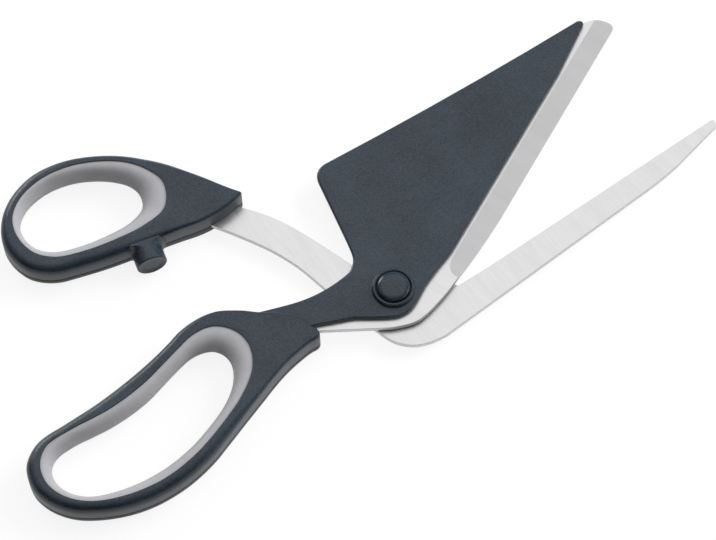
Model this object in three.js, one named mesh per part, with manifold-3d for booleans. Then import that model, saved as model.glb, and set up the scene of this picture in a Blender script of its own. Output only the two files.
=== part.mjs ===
// Pizza scissors: long shears whose upper blade carries a flat serving spatula.
// Two halves turn on one bolt. Each half is drawn with its own cutting edge along +X and the pivot at the
// origin, then turned by half the opening. z = 0 is the plane that both handles and the nut rest on.
import * as THREE from 'three';
import { mergeVertices } from 'three/addons/utils/BufferGeometryUtils.js';
import Module from 'manifold-3d';

const wasm = await Module();
wasm.setup();

// Driving dimensions, in millimetres and degrees
const OPENING = 25.3; // between the two cutting edges as the scissors lie
const BLADE_REACH = 139; // pivot to blade tip
const BLADE_THICKNESS = 2;
const EDGE_LAND = 0.6; // what the grinding leaves at a cutting edge
const UPPER_EDGE_Y = -20; // upper cutting edge, across from the pivot
const UPPER_BEVEL_WIDTH = 7.7;
const LOWER_EDGE_Y = -11.5;
const LOWER_BEVEL_WIDTH = 6;
const SPATULA_THICKNESS = 2;
const PLATE_SETBACK = 1; // bare steel between the plate and the ground band
const SPATULA_EDGE_RADIUS = 0.5;
const HANDLE_THICKNESS = 12;
const HANDLE_EDGE_RADIUS = 3.4;
const HANDLE_FOOT_RADIUS = 2.6; // the same edge on the underside
const BACK_SHELL_DEPTH = 4;
const SEAM_GAP = 0.3;
const FIT_GAP = 0.3; // between moulded or ground pieces that fit in one another
const RUN_GAP = 0.2; // between faces that slide on the pivot
const GRIP_SINK = 0.5; // grip lining below the faces of its handle
const GRIP_RIB_DEPTH = 1;
const GRIP_RIB_HEIGHT = 1.5;
const TANG_PIN_RADIUS = 1.5;
const TANG_PIN_COVER = 1.5; // plastic left over each end of a tang pin
const NUT_FLANGE_RADIUS = 6.5;
const NUT_FLANGE_THICKNESS = 2.2;
const NUT_FLOOR = 1; // closed underside of the nut
const SLEEVE_RADIUS = 3.9;
const BOLT_RADIUS = 2.5;
const BOLT_HEAD_RADIUS = 4.5;
const BOLT_HEAD_HEIGHT = 1.4;
const WASHER_RADIUS = 8;
const WASHER_THICKNESS = 0.4;
const SPRING_THICKNESS = 0.5;
const CAP_RADIUS = 6;
const CAP_WALL = 1;
const CAP_SHOULDER_WIDTH = 2.8;
const CAP_SHOULDER_DROP = 1.8;
const COLLAR_WALL = 1.4;
const COLLAR_HEIGHT = 1.7;
const PEG_RADIUS = 2; // moulded pegs that hold the spatula on the blade
const BUFFER_RADIUS = 5.7;
const BUFFER_LENGTH = 6.8; // from the handle's edge to the buffer's end
const BUFFER_STEM_RADIUS = 2.6;
const BUFFER_STEM_LENGTH = 3.6;
const BUFFER_FILLET = 0.3;
const BUFFER_DISH = 0.4;

const ROUND_STEPS = 28; // facets round a turned piece
const LOOP_STEPS = 48; // facets round a handle

// Heights of the stack on the pivot
const lowerBottom = NUT_FLANGE_THICKNESS + RUN_GAP;
const lowerTop = lowerBottom + BLADE_THICKNESS;
const washerBottom = lowerTop + RUN_GAP;
const upperBottom = washerBottom + WASHER_THICKNESS;
const upperTop = upperBottom + BLADE_THICKNESS;
const spatulaTop = upperTop + SPATULA_THICKNESS;
const headBottom = spatulaTop + SPRING_THICKNESS;
const headTop = headBottom + BOLT_HEAD_HEIGHT;
const capTop = headTop + FIT_GAP + CAP_WALL;

// Places in each half's own drawing
const FINGER_PINS = [[-35.4, 37], [-33.8, 26.5]];
const THUMB_PINS = [[-31, 69], [-36.3, 75]];
const SPATULA_PEGS = [[34, -1], [92, -6]];
const BUFFER_ROOT = new THREE.Vector2(-62.4, 67.1);
const BUFFER_DIRECTION = new THREE.Vector2(-0.26, -0.966).normalize();

const FINGER_LOOP = [
  [-112.7, 80.7], [-103.6, 76.7], [-91.1, 70.7], [-77.2, 65.4], [-61.6, 60.8], [-49.9, 58.1],
  [-40.2, 52.1], [-35.1, 44.2], [-30.5, 34], [-22.5, 24], [-15.5, 12.5], [-21, 8.4], [-33.4, 14.9],
  [-45, 18.7], [-60.1, 20.8], [-75.5, 22.6], [-88.7, 24.3], [-101.9, 28.5], [-114.8, 36.4],
  [-124.9, 47.8], [-130.1, 59.1], [-129.5, 71.3], [-122.4, 79.6],
];
const FINGER_POCKET = [
  [-112.6, 76.6], [-103.6, 72.4], [-90.5, 64.6], [-77.4, 59.4], [-61.4, 55.8], [-51, 53.2], [-45, 48.6],
  [-42.9, 41.2], [-45, 34.4], [-51.6, 28.8], [-62.4, 26.4], [-76, 26.9], [-90.6, 29.2], [-104, 34.2],
  [-116, 43], [-123.6, 52.6], [-126.2, 61.4], [-125, 69.2], [-119.8, 75.2],
];
const FINGER_HOLE = [
  [-112.6, 73], [-105, 69.6], [-94, 62.4], [-80.5, 56.6], [-66, 53.6], [-57, 51], [-51.8, 46.4],
  [-50.4, 41], [-52.4, 36], [-58, 32], [-66.3, 30], [-78, 30.4], [-91, 33], [-103.2, 38.2],
  [-113.6, 45.6], [-120.8, 53.8], [-123.2, 61.8], [-121.8, 68.2], [-118, 72.2],
];
const THUMB_LOOP = [
  [-19, 57.4], [-25.4, 68.9], [-31.7, 80.7], [-39.3, 93], [-48, 102], [-58, 109.2], [-69, 114.3],
  [-80, 115.9], [-91.1, 112.9], [-100, 106], [-104.7, 96], [-103, 84.5], [-96.4, 77.4], [-86.3, 73.4],
  [-73.3, 69.6], [-58.2, 66.4], [-44.4, 63.2], [-32.3, 58.8], [-23, 53.2],
];
const THUMB_POCKET = [
  [-43.2, 84], [-44.6, 91], [-49.2, 98.6], [-57.4, 105.2], [-68, 110.1], [-79, 111.6], [-89.6, 109.2],
  [-96.2, 103.8], [-98.6, 95.8], [-97.2, 87.6], [-92, 81.6], [-82.4, 77.5], [-71, 74.8], [-58.6, 73.4],
  [-48.6, 75.2],
];
const THUMB_HOLE = [
  [-50.9, 87], [-52, 92.6], [-55.6, 97.6], [-61.4, 102.6], [-69.2, 106.8], [-78.2, 108.6], [-87, 107.1],
  [-93, 102.6], [-95.2, 95.8], [-93.8, 89], [-89.2, 84.2], [-81, 80.9], [-70.8, 78.9], [-60.8, 78.5],
  [-53.4, 81.2],
];

// Tools for outlines

function anticlockwise(points) {
  return THREE.ShapeUtils.isClockWise(points) ? points.slice().reverse() : points;
}

// A smooth closed line through a few chosen points.
function smoothLoop(chosen, steps = LOOP_STEPS) {
  const knots = chosen.map(([x, y]) => new THREE.Vector3(x, y, 0));
  const curve = new THREE.CatmullRomCurve3(knots, true, 'centripetal');
  const points = [];
  for (let step = 0; step < steps; step += 1) {
    const point = curve.getPoint(step / steps);
    points.push(new THREE.Vector2(point.x, point.y));
  }
  return points;
}

// The same line moved outwards by a distance, or inwards if it is negative.
function grown(points, distance) {
  const ring = anticlockwise(points);
  return ring.map((point, index) => {
    const before = ring[(index + ring.length - 1) % ring.length];
    const after = ring[(index + 1) % ring.length];
    const along = after.clone().sub(before).normalize();
    return new THREE.Vector2(point.x + along.y * distance, point.y - along.x * distance);
  });
}

function pointsOf(pairs) {
  return pairs.map(([x, y]) => new THREE.Vector2(x, y));
}

// Tools for solids

// A closed geometry as a solid, with shared corners merged and its faces pointing out.
function solidOf(geometry) {
  const bare = geometry.clone();
  bare.deleteAttribute('normal');
  bare.deleteAttribute('uv');
  const welded = mergeVertices(bare, 1e-4);
  const places = welded.attributes.position.array;
  const corner = (index) => new THREE.Vector3().fromArray(places, 3 * index);
  const triangles = [];
  let volume = 0;
  for (let face = 0; face < welded.index.count; face += 3) {
    const [a, b, c] = [0, 1, 2].map((side) => welded.index.getX(face + side));
    if (a !== b && b !== c && c !== a) {
      triangles.push(a, b, c);
      volume += corner(a).dot(corner(b).cross(corner(c)));
    }
  }
  if (volume < 0) triangles.reverse();
  const mesh = new wasm.Mesh({
    numProp: 3,
    vertProperties: Float32Array.from(places),
    triVerts: Uint32Array.from(triangles),
  });
  return new wasm.Manifold(mesh);
}

function geometryOf(solid) {
  const { vertProperties, triVerts } = solid.getMesh();
  const geometry = new THREE.BufferGeometry();
  geometry.setAttribute('position', new THREE.BufferAttribute(vertProperties, 3));
  geometry.setIndex(new THREE.BufferAttribute(triVerts, 1));
  geometry.computeVertexNormals();
  return geometry;
}

// An outline raised from one height to another, with its edges rounded by a radius.
function prism(points, bottom, top, radius = 0, steps = 3) {
  const geometry = new THREE.ExtrudeGeometry(new THREE.Shape(points), {
    depth: top - bottom - 2 * radius,
    bevelEnabled: radius > 0,
    bevelThickness: radius,
    bevelSize: radius,
    bevelOffset: -radius,
    bevelSegments: steps,
  });
  return solidOf(geometry.translate(0, 0, bottom + radius));
}

// A profile of [radius, height] pairs turned round an upright axis.
function turned(profile, [x, y] = [0, 0]) {
  return solidOf(turnedGeometry(profile).translate(x, y, 0));
}

function turnedGeometry(profile) {
  return new THREE.LatheGeometry(pointsOf(profile), ROUND_STEPS).rotateX(Math.PI / 2);
}

function rod(radius, bottom, top, place) {
  return turned([[0, bottom], [radius, bottom], [radius, top], [0, top]], place);
}

// A flat ring.
function ring(inner, outer, bottom, top) {
  return turned([[inner, bottom], [outer, bottom], [outer, top], [inner, top], [inner, bottom]]);
}

function withHoles(solid, places, radius) {
  const tall = 4 * HANDLE_THICKNESS;
  return places.reduce((left, place) => left.subtract(rod(radius, -tall, tall, place)), solid);
}

// Everything between two heights.
function layer(bottom, top) {
  const wide = 4 * BLADE_REACH;
  return solidOf(new THREE.BoxGeometry(wide, wide, top - bottom).translate(0, 0, (bottom + top) / 2));
}

// Outlines of the blades and the spatula

const CURVE_STEPS = 5;
const HEEL = 16; // where the upper cutting edge ends, beside the pivot
const TIP_CLIP = 2.4; // clipped corner of the upper tip

const upperBladeShape = new THREE.Shape()
  .moveTo(HEEL, UPPER_EDGE_Y + 2)
  .quadraticCurveTo(HEEL + 14, UPPER_EDGE_Y + 0.3, HEEL + 30, UPPER_EDGE_Y)
  .lineTo(BLADE_REACH - TIP_CLIP, UPPER_EDGE_Y)
  .quadraticCurveTo(BLADE_REACH + 0.4, UPPER_EDGE_Y, BLADE_REACH, UPPER_EDGE_Y + 3)
  .quadraticCurveTo(BLADE_REACH - 0.4, UPPER_EDGE_Y + 6, BLADE_REACH - TIP_CLIP, UPPER_EDGE_Y + 8.6)
  .lineTo(BLADE_REACH - 12, -6.5)
  .lineTo(60, 2)
  .lineTo(30, 6)
  .splineThru(pointsOf([[14, 11.5], [5, 13.5], [-4, 13], [-13, 16.5], [-22, 24], [-33, 36.5]]))
  .splineThru(pointsOf([[-36.5, 40.6], [-39.4, 36], [-38.6, 28], [-32.6, 21]]))
  .lineTo(-26.2, 15)
  .lineTo(-17.5, 0.6)
  .splineThru(pointsOf([[-15.3, -3], [-11.7, -8.2], [-5.4, -13.8], [HEEL - 10, -16.8],
    [HEEL, UPPER_EDGE_Y + 2]]));

const lowerBladeShape = new THREE.Shape()
  .moveTo(21, LOWER_EDGE_Y + 0.4)
  .lineTo(34, LOWER_EDGE_Y)
  .lineTo(BLADE_REACH, LOWER_EDGE_Y)
  .quadraticCurveTo(BLADE_REACH + 0.6, LOWER_EDGE_Y - 2.2, BLADE_REACH - 1, LOWER_EDGE_Y - 3.2)
  .lineTo(BLADE_REACH - 22, LOWER_EDGE_Y - 7.5)
  .quadraticCurveTo(BLADE_REACH - 28, LOWER_EDGE_Y - 8.6, BLADE_REACH - 38, LOWER_EDGE_Y - 9.1)
  .lineTo(5.6, -24.4)
  .splineThru(pointsOf([[-0.6, -23.3], [-6.4, -20.6], [-11, -15.4], [-13.6, -7.6], [-16, 4], [-18.9, 17.1],
    [-21.4, 29.5], [-25.8, 41.6], [-32.3, 54], [-37.4, 62.4]]))
  .splineThru(pointsOf([[-39.4, 68], [-40.4, 74.5], [-38, 78.8], [-33.8, 76.6], [-29.2, 69.6], [-25.4, 63.8]]))
  .splineThru(pointsOf([[-23.2, 60.6], [-17.8, 52.4], [-12.8, 41.6], [-7.3, 25.4], [-3.6, 15], [4, 8.4],
    [12, 2], [17.4, -5], [21, LOWER_EDGE_Y + 0.4]]));

// The plate's long edge lies beside the upper blade's ground band.
const plateEdge = UPPER_EDGE_Y + UPPER_BEVEL_WIDTH + PLATE_SETBACK;

const spatulaShape = new THREE.Shape()
  .moveTo(24, plateEdge)
  .lineTo(110, plateEdge)
  .lineTo(132.6, plateEdge + 1.6)
  .quadraticCurveTo(134.2, plateEdge + 2.4, 132.6, plateEdge + 4.4)
  .quadraticCurveTo(82.3, 18.4, 33.5, 46.8)
  .quadraticCurveTo(28.7, 49.3, 25.3, 45.1)
  .lineTo(8.5, 23.7)
  .splineThru(pointsOf([[4.4, 19.2], [0.5, 17.6], [-3.4, 17.9], [-12.5, 21.9], [-21, 27.9], [-31.3, 38.2]]))
  .splineThru(pointsOf([[-36, 41], [-39, 36], [-38.2, 28.4], [-33, 22.2]]))
  .lineTo(-27, 18.7)
  .lineTo(-17.2, 7.2)
  .splineThru(pointsOf([[-10.7, -4.1], [-6.9, -8], [-1.8, -9.7], [9.3, -9.6], [24, plateEdge]]));

const upperBladeLine = anticlockwise(upperBladeShape.getPoints(CURVE_STEPS));
const lowerBladeLine = anticlockwise(lowerBladeShape.getPoints(CURVE_STEPS));
const spatulaLine = anticlockwise(spatulaShape.getPoints(CURVE_STEPS));

// Blades

// What the grinding wheel takes off a face: a wedge that is deepest at the edge (y = 0), with a round run-out
// beside the pivot. An underside is ground by the same wedge turned over.
function grinding(width, start, face, edgeY, over) {
  const drop = BLADE_THICKNESS - EDGE_LAND;
  const past = 2;
  const end = BLADE_REACH + 10;
  const tall = 3 * BLADE_THICKNESS;
  const section = pointsOf([[width, 0], [-past, -drop * (1 + past / width)], [-past, tall], [width, tall]]);
  const length = end - start;
  const wedge = new THREE.ExtrudeGeometry(new THREE.Shape(section), { depth: length, bevelEnabled: false });
  // The section's x, y and depth become y, z and x.
  wedge.applyMatrix4(new THREE.Matrix4().set(0, 0, 1, start, 1, 0, 0, 0, 0, 1, 0, 0, 0, 0, 0, 1));
  const reach = new THREE.Shape()
    .moveTo(start, -2 * past)
    .lineTo(end + past, -2 * past)
    .lineTo(end + past, width + past)
    .lineTo(start + width, width + past)
    .lineTo(start + width, width)
    .quadraticCurveTo(start, width, start, width / 3);
  const tower = new THREE.ExtrudeGeometry(new THREE.Shape(reach.getPoints(6)), {
    depth: 4 * tall,
    bevelEnabled: false,
  });
  tower.translate(0, 0, -2 * tall);
  for (const cutter of [wedge, tower]) {
    if (over) cutter.rotateX(Math.PI);
    cutter.translate(0, edgeY, face);
  }
  return solidOf(wedge).intersect(solidOf(tower));
}

function upperBlade() {
  const plate = prism(upperBladeLine, upperBottom, upperTop);
  const ground = plate.subtract(grinding(UPPER_BEVEL_WIDTH, HEEL, upperTop, UPPER_EDGE_Y, false));
  const bored = withHoles(ground, [[0, 0]], BOLT_RADIUS + FIT_GAP);
  const pegged = withHoles(bored, SPATULA_PEGS, PEG_RADIUS + FIT_GAP);
  return withHoles(pegged, FINGER_PINS, TANG_PIN_RADIUS + FIT_GAP);
}

function lowerBlade() {
  const plate = prism(lowerBladeLine, lowerBottom, lowerTop);
  const ground = plate.subtract(grinding(LOWER_BEVEL_WIDTH, 24, lowerBottom, LOWER_EDGE_Y, true));
  const bored = withHoles(ground, [[0, 0]], SLEEVE_RADIUS + RUN_GAP);
  return withHoles(bored, THUMB_PINS, TANG_PIN_RADIUS + FIT_GAP);
}

// Spatula: plate and neck in one moulding, with the collar round the cap and two pegs into the blade

function spatula() {
  const collarInside = CAP_RADIUS + FIT_GAP;
  const collarTop = spatulaTop + COLLAR_HEIGHT;
  const collar = rod(collarInside + COLLAR_WALL, upperTop + SPATULA_EDGE_RADIUS, collarTop);
  const plate = prism(spatulaLine, upperTop, spatulaTop, SPATULA_EDGE_RADIUS, 2);
  const cupped = plate.add(collar).subtract(rod(collarInside, spatulaTop, collarTop + CAP_RADIUS));
  const bored = withHoles(cupped, [[0, 0]], BOLT_RADIUS + FIT_GAP);
  const pinned = withHoles(bored, FINGER_PINS, TANG_PIN_RADIUS + FIT_GAP);
  const peg = (place) => rod(PEG_RADIUS, upperBottom, upperTop + 1, place);
  return SPATULA_PEGS.reduce((made, place) => made.add(peg(place)), pinned);
}

// Handles: a rounded loop, cut off square where the tang comes out and split at the seam

const THUMB_NOSE_Y = 63.5; // the thumb handle ends here, square to its tang

const BEYOND = 150; // further from the pivot than a handle reaches

const thumbNoseLine = pointsOf([[-BEYOND, THUMB_NOSE_Y], [0, THUMB_NOSE_Y], [0, BEYOND], [-BEYOND, BEYOND]]);
const fingerNoseLine = new THREE.Shape()
  .moveTo(-BEYOND, 0)
  .lineTo(-36, 0)
  .lineTo(-32.4, 13.6)
  .quadraticCurveTo(-27.6, 11.8, -27.9, 18)
  .lineTo(-27, 23)
  .lineTo(-33.6, 46)
  .lineTo(-33.6, BEYOND)
  .lineTo(-BEYOND, BEYOND)
  .getPoints(4);

const fingerPocketLine = smoothLoop(FINGER_POCKET);
const thumbPocketLine = smoothLoop(THUMB_POCKET);

// An outline raised to the handle's thickness, its upper edge rounder than its lower one.
function roundedPrism(points, bottom, top) {
  const steps = 4;
  const rows = [];
  for (let step = 0; step <= steps; step += 1) {
    const angle = (step / steps) * (Math.PI / 2);
    const inward = HANDLE_FOOT_RADIUS * (1 - Math.sin(angle));
    rows.push([grown(points, -inward), bottom + HANDLE_FOOT_RADIUS * (1 - Math.cos(angle))]);
  }
  for (let step = 0; step <= steps; step += 1) {
    const angle = (step / steps) * (Math.PI / 2);
    const inward = HANDLE_EDGE_RADIUS * (1 - Math.cos(angle));
    rows.push([grown(points, -inward), top - HANDLE_EDGE_RADIUS * (1 - Math.sin(angle))]);
  }
  return solidOf(skinned(rows, false));
}

function handleBody(loop, noseLine, extra = 0) {
  const outside = grown(smoothLoop(loop), extra);
  const rounded = roundedPrism(outside, -extra, HANDLE_THICKNESS + extra);
  return rounded.intersect(prism(noseLine, -HANDLE_THICKNESS, 2 * HANDLE_THICKNESS));
}

// The hole for the grip lining, with a groove in the front shell for the lining's rib.
function gripPocket(pocketLine) {
  const grooveTop = BACK_SHELL_DEPTH + SEAM_GAP + GRIP_RIB_HEIGHT + FIT_GAP;
  const groove = prism(grown(pocketLine, GRIP_RIB_DEPTH), BACK_SHELL_DEPTH + SEAM_GAP / 2, grooveTop);
  return prism(pocketLine, -HANDLE_THICKNESS, 2 * HANDLE_THICKNESS).add(groove);
}

function pinHoles(places) {
  const radius = TANG_PIN_RADIUS + FIT_GAP;
  const bottom = TANG_PIN_COVER - FIT_GAP;
  const top = HANDLE_THICKNESS - TANG_PIN_COVER + FIT_GAP;
  const [first, ...others] = places.map((place) => rod(radius, bottom, top, place));
  return others.reduce((made, hole) => made.add(hole), first);
}

function frontOf(body) {
  return body.intersect(layer(BACK_SHELL_DEPTH + SEAM_GAP, 2 * HANDLE_THICKNESS));
}

function backOf(body) {
  return body.intersect(layer(-HANDLE_THICKNESS, BACK_SHELL_DEPTH));
}

function fingerShells() {
  const body = handleBody(FINGER_LOOP, fingerNoseLine);
  const hollow = gripPocket(fingerPocketLine).add(pinHoles(FINGER_PINS));
  const tangLine = grown(upperBladeLine, FIT_GAP);
  const tang = prism(tangLine, upperBottom - FIT_GAP, upperTop + FIT_GAP);
  const tongue = prism(grown(spatulaLine, FIT_GAP), upperTop, spatulaTop + FIT_GAP);
  const way = prism(tangLine, BACK_SHELL_DEPTH, upperBottom);
  // The back shell rises under the tang and holds it up against the front shell.
  const padLine = grown(upperBladeLine, -2 * FIT_GAP);
  const pad = prism(padLine, BACK_SHELL_DEPTH / 2, upperBottom - FIT_GAP).intersect(body);
  return {
    front: frontOf(body).subtract(hollow).subtract(tang).subtract(tongue).subtract(way),
    back: backOf(body).add(pad).subtract(hollow).subtract(tang),
  };
}

function thumbShells() {
  const body = handleBody(THUMB_LOOP, thumbNoseLine);
  const hollow = gripPocket(thumbPocketLine).add(pinHoles(THUMB_PINS));
  const tang = prism(grown(lowerBladeLine, FIT_GAP), lowerBottom - FIT_GAP, lowerTop + FIT_GAP);
  const stem = bufferStem(BUFFER_STEM_RADIUS + FIT_GAP, BUFFER_STEM_LENGTH + FIT_GAP);
  const cut = hollow.add(tang).add(stem);
  return { front: frontOf(body).subtract(cut), back: backOf(body).subtract(cut) };
}

function tangPin(place) {
  return rod(TANG_PIN_RADIUS, TANG_PIN_COVER, HANDLE_THICKNESS - TANG_PIN_COVER, place);
}

// Grip linings: a soft ring that opens like a funnel towards both faces, with a rib that the shells hold

function gripLining(pocketLine, holeKnots) {
  const outside = grown(pocketLine, -FIT_GAP);
  const ribLine = grown(pocketLine, GRIP_RIB_DEPTH - FIT_GAP);
  const hole = anticlockwise(smoothLoop(holeKnots));
  const bottom = GRIP_SINK;
  const top = HANDLE_THICKNESS - GRIP_SINK;
  const ribBottom = BACK_SHELL_DEPTH + SEAM_GAP;
  const ribTop = ribBottom + GRIP_RIB_HEIGHT;
  const depth = top - bottom;
  // Each row is a line round the ring: how far in towards the hole, and how high.
  const inward = [[0.3, 1], [0.62, 0.93], [0.88, 0.78], [1, 0.5], [0.88, 0.2], [0.62, 0.06], [0.3, 0]];
  const rows = [
    [outside, bottom], [outside, ribBottom], [ribLine, ribBottom], [ribLine, ribTop], [outside, ribTop],
    [outside, top],
    ...inward.map(([share, height]) => [
      outside.map((point, index) => point.clone().lerp(hole[index], share)),
      bottom + height * depth,
    ]),
  ];
  return solidOf(skinned(rows, true));
}

// A skin over rows of points: a ring, whose last row joins its first, or a body closed at both ends.
function skinned(rows, isRing) {
  const count = rows[0][0].length;
  const places = rows.flatMap(([line, height]) => line.flatMap((point) => [point.x, point.y, height]));
  const faces = [];
  const bands = isRing ? rows.length : rows.length - 1;
  for (let level = 0; level < bands; level += 1) {
    const next = (level + 1) % rows.length;
    for (let step = 0; step < count; step += 1) {
      const beside = (step + 1) % count;
      const [a, b] = [level * count + step, level * count + beside];
      const [c, d] = [next * count + beside, next * count + step];
      faces.push(a, b, c, a, c, d);
    }
  }
  if (!isRing) {
    const last = count * (rows.length - 1);
    const lids = [rows[0], rows[rows.length - 1]].map(([line]) => THREE.ShapeUtils.triangulateShape(line, []));
    for (const [a, b, c] of lids[0]) faces.push(a, c, b);
    for (const [a, b, c] of lids[1]) faces.push(last + a, last + b, last + c);
  }
  const geometry = new THREE.BufferGeometry();
  geometry.setAttribute('position', new THREE.Float32BufferAttribute(places, 3));
  geometry.setIndex(faces);
  return geometry;
}

// Stop buffer: a round plug on the thumb handle's inner edge, its stem clamped between the shells

function alongBuffer(profile) {
  const geometry = turnedGeometry(profile);
  const axis = new THREE.Vector3(BUFFER_DIRECTION.x, BUFFER_DIRECTION.y, 0);
  geometry.applyQuaternion(new THREE.Quaternion().setFromUnitVectors(new THREE.Vector3(0, 0, 1), axis));
  return solidOf(geometry.translate(BUFFER_ROOT.x, BUFFER_ROOT.y, HANDLE_THICKNESS / 2));
}

function bufferStem(radius, length) {
  return alongBuffer([[0, -length], [radius, -length], [radius, BUFFER_FILLET], [0, BUFFER_FILLET]]);
}

function stopBuffer() {
  const foot = BUFFER_RADIUS + BUFFER_FILLET;
  const rim = 0.5;
  const dish = BUFFER_LENGTH - BUFFER_DISH;
  const head = alongBuffer([
    [0, -2 * BUFFER_FILLET],
    [foot, -2 * BUFFER_FILLET],
    [foot, 0],
    [BUFFER_RADIUS + 0.3 * BUFFER_FILLET, 0.5 * BUFFER_FILLET],
    [BUFFER_RADIUS, 1.5 * BUFFER_FILLET],
    [BUFFER_RADIUS, BUFFER_LENGTH - rim],
    [BUFFER_RADIUS - rim, BUFFER_LENGTH],
    [BUFFER_RADIUS - 2 * rim, BUFFER_LENGTH],
    [BUFFER_RADIUS - 4 * rim, dish],
    [0, dish],
  ]);
  const seated = head.subtract(handleBody(THUMB_LOOP, thumbNoseLine, FIT_GAP));
  return seated.add(bufferStem(BUFFER_STEM_RADIUS, BUFFER_STEM_LENGTH));
}

// Pivot

function pivotNut() {
  const chamfer = 0.4;
  const bore = BOLT_RADIUS + FIT_GAP;
  const sleeveTop = upperBottom - RUN_GAP;
  return turned([
    [0, 0], [NUT_FLANGE_RADIUS - chamfer, 0], [NUT_FLANGE_RADIUS, chamfer],
    [NUT_FLANGE_RADIUS, NUT_FLANGE_THICKNESS],
    [SLEEVE_RADIUS, NUT_FLANGE_THICKNESS], [SLEEVE_RADIUS, sleeveTop], [bore, sleeveTop], [bore, NUT_FLOOR],
    [0, NUT_FLOOR],
  ]);
}

function pivotBolt() {
  const foot = NUT_FLOOR + FIT_GAP;
  return turned([
    [0, foot], [BOLT_RADIUS, foot], [BOLT_RADIUS, headBottom], [BOLT_HEAD_RADIUS, headBottom],
    [BOLT_HEAD_RADIUS, headTop], [0, headTop],
  ]);
}

function pivotCap() {
  const inside = CAP_RADIUS - CAP_WALL;
  const shoulderSteps = 6;
  const shoulder = [];
  for (let step = 0; step <= shoulderSteps; step += 1) {
    const angle = (step / shoulderSteps) * (Math.PI / 2);
    const out = CAP_RADIUS - CAP_SHOULDER_WIDTH * (1 - Math.cos(angle));
    shoulder.push([out, capTop - CAP_SHOULDER_DROP * (1 - Math.sin(angle))]);
  }
  return turned([
    [0, headTop + FIT_GAP], [inside, headTop + FIT_GAP], [inside, spatulaTop], [CAP_RADIUS, spatulaTop],
    ...shoulder, [0, capTop],
  ]);
}

// Materials

function steel(colour, roughness) {
  return new THREE.MeshStandardMaterial({ color: colour, roughness, metalness: 1 });
}

function plastic(colour, roughness) {
  return new THREE.MeshStandardMaterial({ color: colour, roughness, metalness: 0 });
}

const SLATE = '#3f464f';
const GRIP_GREY = '#a9a8ae';

// Assembly

function add(half, name, solid, material) {
  const mesh = new THREE.Mesh(geometryOf(solid), material);
  mesh.name = name;
  half.add(mesh);
}

const fingerHalf = new THREE.Group();
const thumbHalf = new THREE.Group();
fingerHalf.rotation.z = THREE.MathUtils.degToRad(OPENING / 2);
thumbHalf.rotation.z = THREE.MathUtils.degToRad(-OPENING / 2);

const fingerHandle = fingerShells();
add(fingerHalf, 'upper_blade', upperBlade(), steel('#d9dbdc', 0.3));
add(fingerHalf, 'spatula', spatula(), plastic(SLATE, 0.6));
add(fingerHalf, 'finger_front_shell', fingerHandle.front, plastic(SLATE, 0.55));
add(fingerHalf, 'finger_back_shell', fingerHandle.back, plastic(SLATE, 0.55));
add(fingerHalf, 'finger_grip_insert', gripLining(fingerPocketLine, FINGER_HOLE), plastic(GRIP_GREY, 0.75));
FINGER_PINS.forEach((place, index) => {
  add(fingerHalf, `finger_tang_pin_${index + 1}`, tangPin(place), steel('#b9bcbf', 0.4));
});
const springBore = BOLT_RADIUS + FIT_GAP;
const washerBore = SLEEVE_RADIUS + FIT_GAP;
const spring = ring(springBore, BOLT_HEAD_RADIUS, spatulaTop, headBottom);
add(fingerHalf, 'pivot_nut', pivotNut(), steel('#c4c6c8', 0.35));
const washer = ring(washerBore, WASHER_RADIUS, washerBottom, upperBottom);
add(fingerHalf, 'pivot_washer', washer, plastic('#e4e2dc', 0.5));
add(fingerHalf, 'pivot_bolt', pivotBolt(), steel('#c4c6c8', 0.35));
add(fingerHalf, 'pivot_spring_washer', spring, steel('#a8abae', 0.4));
add(fingerHalf, 'pivot_cap', pivotCap(), plastic('#33383f', 0.3));

const thumbHandle = thumbShells();
add(thumbHalf, 'lower_blade', lowerBlade(), steel('#d9dbdc', 0.3));
add(thumbHalf, 'thumb_front_shell', thumbHandle.front, plastic(SLATE, 0.55));
add(thumbHalf, 'thumb_back_shell', thumbHandle.back, plastic(SLATE, 0.55));
add(thumbHalf, 'thumb_grip_insert', gripLining(thumbPocketLine, THUMB_HOLE), plastic(GRIP_GREY, 0.75));
THUMB_PINS.forEach((place, index) => {
  add(thumbHalf, `thumb_tang_pin_${index + 1}`, tangPin(place), steel('#b9bcbf', 0.4));
});
add(thumbHalf, 'stop_buffer', stopBuffer(), plastic(SLATE, 0.55));

const pizzaScissors = new THREE.Group();
pizzaScissors.add(fingerHalf, thumbHalf);

export default pizzaScissors;
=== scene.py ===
# Pizza scissors: the looks of the part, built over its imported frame. Sizes are in metres.
import math

import bmesh
import bpy
import numpy as np
from mathutils import Matrix, Vector


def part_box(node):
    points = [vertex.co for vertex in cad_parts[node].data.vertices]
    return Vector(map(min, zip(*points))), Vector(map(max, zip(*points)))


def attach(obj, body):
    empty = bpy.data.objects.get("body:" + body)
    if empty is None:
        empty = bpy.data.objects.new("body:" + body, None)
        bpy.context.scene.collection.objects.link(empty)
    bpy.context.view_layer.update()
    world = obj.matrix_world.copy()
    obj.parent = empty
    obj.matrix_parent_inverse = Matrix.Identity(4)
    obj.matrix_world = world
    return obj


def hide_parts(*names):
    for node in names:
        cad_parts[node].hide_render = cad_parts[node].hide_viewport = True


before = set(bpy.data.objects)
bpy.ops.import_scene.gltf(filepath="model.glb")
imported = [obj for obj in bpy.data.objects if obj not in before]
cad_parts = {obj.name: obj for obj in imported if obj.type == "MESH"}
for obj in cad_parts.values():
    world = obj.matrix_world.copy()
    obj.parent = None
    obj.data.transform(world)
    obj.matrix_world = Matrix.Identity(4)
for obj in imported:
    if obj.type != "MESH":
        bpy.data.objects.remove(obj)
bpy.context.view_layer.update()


# Camera
# It stands where the photograph was taken from, with a long lens a metre away, looking steeply down.
CAMERA_TURN = math.radians(48.85)
CAMERA_RISE = math.radians(63.5)
CAMERA_DISTANCE = 1.0
PICTURE_WIDTH = 716
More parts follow.
